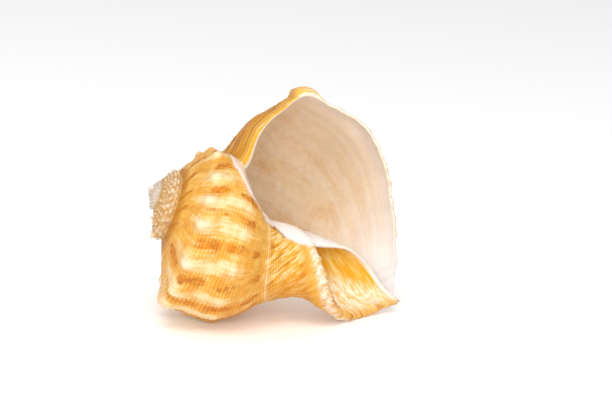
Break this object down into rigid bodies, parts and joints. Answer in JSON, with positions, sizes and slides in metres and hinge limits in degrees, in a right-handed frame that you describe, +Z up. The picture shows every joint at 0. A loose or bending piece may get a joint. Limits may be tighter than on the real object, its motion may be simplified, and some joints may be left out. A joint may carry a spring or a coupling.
{
  "type": "rapa whelk seashell",
  "caption": "Knobbed sea snail shell with a flared open mouth and a deep umbilicus, lying on its side",
  "frame": {"origin": "centre of the shell's bounding box in plan, on the surface it lies on", "axes": "+Z up; +X from the spire towards the canal as the shell lies; the mouth faces -Y and up"},
  "size_m": [0.0704, 0.058, 0.0642],
  "materials": {
    "shell": "satin"
  },
  "bodies": {
    "root": {"shell": "shell"}
  },
  "joints": []
}
